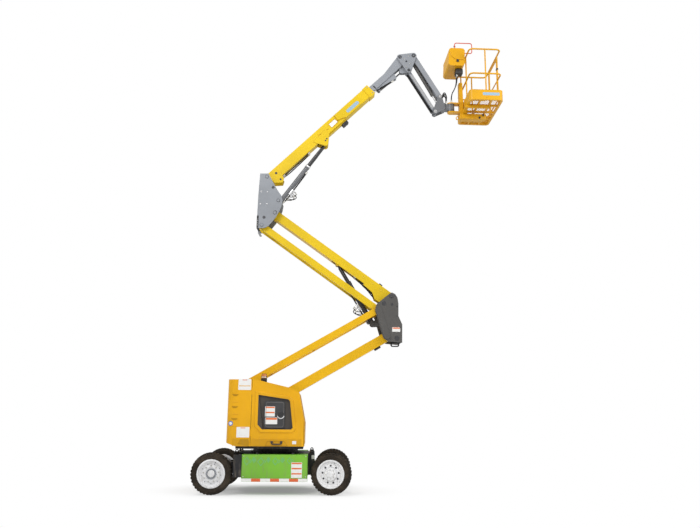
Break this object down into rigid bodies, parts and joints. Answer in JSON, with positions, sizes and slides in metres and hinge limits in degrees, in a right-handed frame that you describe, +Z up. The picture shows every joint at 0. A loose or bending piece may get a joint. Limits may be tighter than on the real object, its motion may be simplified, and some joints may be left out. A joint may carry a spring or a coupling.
{
  "type": "articulating boom lift",
  "caption": "Battery-driven articulating boom lift with slewing turntable, double-parallelogram riser, telescopic boom, jib and railed work platform.",
  "frame": {"origin": "on the ground under the slewing centre", "axes": "+X from the counterweight towards the steered axle and the raised boom's tip, +Y across the machine, +Z up"},
  "size_m": [5.6099, 1.8836, 8.7211],
  "materials": {
    "black_frame": "semi-gloss black paint",
    "green_panel": "gloss green paint",
    "tyre": "matt rubber",
    "silver_rim": "silver paint",
    "cover_amber": "gloss orange-yellow paint",
    "boom_yellow": "gloss yellow paint",
    "arm_grey": "pale grey paint",
    "dark_steel": "dark grey paint",
    "cylinder_grey": "grey paint",
    "rod_chrome": "polished",
    "door_dark": "matt dark plastic",
    "beacon": "orange lens on a black foot",
    "guard_red": "red paint"
  },
  "bodies": {
    "chassis": {"chassis_frame": "black_frame", "battery_boxes": "green_panel", "axle_front": "black_frame", "slew_ring": "black_frame"},
    "wheel_rear_left": {"tyre_rear_left": "tyre", "rim_rear_left": "silver_rim"},
    "wheel_rear_right": {"tyre_rear_right": "tyre", "rim_rear_right": "silver_rim"},
    "steer_left": {"steer_knuckle_left": "dark_steel"},
    "steer_right": {"steer_knuckle_right": "dark_steel"},
    "steer_link": {"tie_rod": "dark_steel"},
    "wheel_front_left": {"tyre_front_left": "tyre", "rim_front_left": "silver_rim"},
    "wheel_front_right": {"tyre_front_right": "tyre", "rim_front_right": "silver_rim"},
    "turntable": {"turntable_frame": "black_frame", "counterweight": "cover_amber"},
    "cover_left": {"hood_left": "cover_amber", "beacon": "beacon"},
    "cover_right": {"hood_right": "cover_amber"},
    "door": {"control_door": "door_dark"},
    "lower_arm": {"lower_arm": "cover_amber"},
    "lower_link": {"lower_link": "cover_amber"},
    "knuckle": {"riser_knuckle": "dark_steel"},
    "upper_arm": {"upper_arm": "boom_yellow"},
    "upper_link": {"upper_link": "boom_yellow"},
    "riser_barrel": {"riser_cylinder": "cylinder_grey"},
    "riser_rod": {"riser_rod": "rod_chrome"},
    "upright": {"upright": "arm_grey"},
    "boom": {"boom_outer": "boom_yellow"},
    "fly": {"boom_fly": "arm_grey"},
    "lift_barrel": {"lift_cylinder": "cylinder_grey"},
    "lift_rod": {"lift_rod": "rod_chrome"},
    "head": {"jib_head": "arm_grey"},
    "level_barrel": {"level_cylinder": "dark_steel"},
    "level_rod": {"level_rod": "rod_chrome"},
    "jib": {"jib_arm": "arm_grey"},
    "jib_link": {"jib_link": "arm_grey"},
    "jib_barrel": {"jib_cylinder": "dark_steel"},
    "jib_rod": {"jib_rod": "rod_chrome"},
    "jib_end": {"jib_end": "dark_steel"},
    "platform": {"platform_mount": "boom_yellow", "platform_floor": "boom_yellow", "platform_rails": "cover_amber", "control_console": "cover_amber", "guard_bar": "guard_red"},
    "gate": {"platform_gate": "cover_amber"}
  },
  "joints": [
    {"name": "wheel_rear_left", "type": "hinge", "parent": "chassis", "child": "wheel_rear_left", "pos_m": [-1.015, -0.779, 0.345], "axis": [0, 1, 0], "continuous": true},
    {"name": "wheel_rear_right", "type": "hinge", "parent": "chassis", "child": "wheel_rear_right", "pos_m": [-1.015, 0.779, 0.345], "axis": [0, 1, 0], "continuous": true},
    {"name": "steer_left", "type": "hinge", "parent": "chassis", "child": "steer_left", "pos_m": [1.015, -0.603, 0.345], "axis": [0, 0, 1], "range_deg": [-25, 45]},
    {"name": "steer_right", "type": "hinge", "parent": "chassis", "child": "steer_right", "pos_m": [1.015, 0.603, 0.345], "axis": [0, 0, 1], "range_deg": [-25.1, 45.1]},
    {"name": "steer_link", "type": "hinge", "parent": "steer_left", "child": "steer_link", "pos_m": [0.86728, -0.57695, 0.225], "axis": [0, 0, 1], "range_deg": [-45.1, 25.1]},
    {"name": "wheel_front_left", "type": "hinge", "parent": "steer_left", "child": "wheel_front_left", "pos_m": [0.98444, -0.77633, 0.345], "axis": [0.1736, 0.9848, 0], "continuous": true},
    {"name": "wheel_front_right", "type": "hinge", "parent": "steer_right", "child": "wheel_front_right", "pos_m": [1.04556, 0.77633, 0.345], "axis": [0.1736, 0.9848, 0], "continuous": true},
    {"name": "slew", "type": "hinge", "parent": "chassis", "child": "turntable", "pos_m": [0, 0, 0.7], "axis": [0, 0, 1], "range_deg": [-177.5, 177.5]},
    {"name": "cover_left", "type": "hinge", "parent": "turntable", "child": "cover_left", "pos_m": [-0.389, -0.85, 1.35], "axis": [0, 0, -1], "range_deg": [0, 80]},
    {"name": "cover_right", "type": "hinge", "parent": "turntable", "child": "cover_right", "pos_m": [-0.389, 0.85, 1.35], "axis": [0, 0, 1], "range_deg": [0, 80]},
    {"name": "control_door", "type": "hinge", "parent": "cover_left", "child": "door", "pos_m": [-0.17, -0.838, 1.3], "axis": [0, 0, -1], "range_deg": [0, 110]},
    {"name": "riser_lift", "type": "hinge", "parent": "turntable", "child": "lower_arm", "pos_m": [-0.43, 0, 1.335], "axis": [0, -1, 0], "range_deg": [-30, 38]},
    {"name": "lower_link", "type": "hinge", "parent": "turntable", "child": "lower_link", "pos_m": [-0.585, 0, 1.83], "axis": [0, -1, 0], "range_deg": [-30.1, 38.1]},
    {"name": "knuckle", "type": "hinge", "parent": "lower_arm", "child": "knuckle", "pos_m": [1.991, 0, 2.745], "axis": [0, -1, 0], "range_deg": [-38.1, 30.1]},
    {"name": "upper_arm", "type": "hinge", "parent": "knuckle", "child": "upper_arm", "pos_m": [2.078, 0, 3.487], "axis": [0, -1, 0], "range_deg": [-38.1, 30.1]},
    {"name": "upper_link", "type": "hinge", "parent": "knuckle", "child": "upper_link", "pos_m": [1.836, 0, 3.24], "axis": [0, -1, 0], "range_deg": [-38.1, 30.1]},
    {"name": "riser_cylinder", "type": "hinge", "parent": "knuckle", "child": "riser_barrel", "pos_m": [1.745, 0, 2.996], "axis": [0, -1, 0], "range_deg": [-30.21, 23.88]},
    {"name": "riser_rod", "type": "slide", "parent": "riser_barrel", "child": "riser_rod", "axis": [-0.5093, 0, 0.8606], "range_m": [-0.28136, 0.35339]},
    {"name": "upright", "type": "hinge", "parent": "upper_arm", "child": "upright", "pos_m": [-0.141, 0, 5.069], "axis": [0, -1, 0], "range_deg": [-30.1, 38.1]},
    {"name": "boom_lift", "type": "hinge", "parent": "upright", "child": "boom", "pos_m": [-0.315, 0, 5.785], "axis": [0, -1, 0], "range_deg": [-50, 28]},
    {"name": "lift_cylinder", "type": "hinge", "parent": "upright", "child": "lift_barrel", "pos_m": [-0.084, 0, 5.315], "axis": [0, -1, 0], "range_deg": [-44.45, 24.96]},
    {"name": "lift_rod", "type": "slide", "parent": "lift_barrel", "child": "lift_rod", "axis": [0.5791, 0, 0.8152], "range_m": [-0.42885, 0.24513]},
    {"name": "telescope", "type": "slide", "parent": "boom", "child": "fly", "axis": [0.7071, 0, 0.7071], "range_m": [0, 1.9]},
    {"name": "head_level", "type": "hinge", "parent": "fly", "child": "head", "pos_m": [2.28998, 0, 8.47003], "axis": [0, -1, 0], "range_deg": [-28.1, 50.1]},
    {"name": "level_cylinder", "type": "hinge", "parent": "fly", "child": "level_barrel", "pos_m": [1.87067, 0, 7.75797], "axis": [0, -1, 0], "range_deg": [-7.76, 4.36]},
    {"name": "level_rod", "type": "slide", "parent": "level_barrel", "child": "level_rod", "axis": [0.7367, 0, 0.6762], "range_m": [-0.12508, 0.215]},
    {"name": "jib_lift", "type": "hinge", "parent": "head", "child": "jib", "pos_m": [2.57098, 0, 8.51303], "axis": [0, -1, 0], "range_deg": [-11, 114]},
    {"name": "jib_link", "type": "hinge", "parent": "head", "child": "jib_link", "pos_m": [2.47098, 0, 8.18803], "axis": [0, -1, 0], "range_deg": [-11.1, 114.1]},
    {"name": "jib_cylinder", "type": "hinge", "parent": "head", "child": "jib_barrel", "pos_m": [2.52598, 0, 8.46803], "axis": [0, -1, 0], "range_deg": [-10.95, 111.09]},
    {"name": "jib_rod", "type": "slide", "parent": "jib_barrel", "child": "jib_rod", "axis": [0.4856, 0, -0.8742], "range_m": [-0.15288, 0.02407]},
    {"name": "jib_end", "type": "hinge", "parent": "jib", "child": "jib_end", "pos_m": [3.10147, 0, 7.63014], "axis": [0, -1, 0], "range_deg": [-114.1, 11.1]},
    {"name": "platform_turn", "type": "hinge", "parent": "jib_end", "child": "platform", "pos_m": [3.32997, 0, 7.4], "axis": [0, 0, 1], "range_deg": [-80, 80]},
    {"name": "platform_gate", "type": "hinge", "parent": "platform", "child": "gate", "pos_m": [4.22797, 0.288, 7.9], "axis": [0, 0, -1], "range_deg": [0, 85]}
  ],
  "couplings": [
    {"joint": "steer_right", "follows": "steer_left", "ratio": 1},
    {"joint": "steer_link", "follows": "steer_left", "ratio": -1},
    {"joint": "lower_link", "follows": "riser_lift", "ratio": 1},
    {"joint": "knuckle", "follows": "riser_lift", "ratio": -1},
    {"joint": "upper_arm", "follows": "riser_lift", "ratio": -1},
    {"joint": "upper_link", "follows": "riser_lift", "ratio": -1},
    {"joint": "riser_cylinder", "follows": "riser_lift", "ratio": -0.79199},
    {"joint": "riser_rod", "follows": "riser_lift", "m_per_rad": 0.51591},
    {"joint": "upright", "follows": "riser_lift", "ratio": 1},
    {"joint": "lift_cylinder", "follows": "boom_lift", "ratio": 0.88611},
    {"joint": "lift_rod", "follows": "boom_lift", "m_per_rad": 0.47847},
    {"joint": "head_level", "follows": "boom_lift", "ratio": -1},
    {"joint": "level_cylinder", "follows": "boom_lift", "ratio": 0.15447},
    {"joint": "level_rod", "follows": "boom_lift", "m_per_rad": -0.23418},
    {"joint": "jib_link", "follows": "jib_lift", "ratio": 1},
    {"joint": "jib_cylinder", "follows": "jib_lift", "ratio": 0.97228},
    {"joint": "jib_rod", "follows": "jib_lift", "m_per_rad": -0.071654},
    {"joint": "jib_end", "follows": "jib_lift", "ratio": -1}
  ]
}
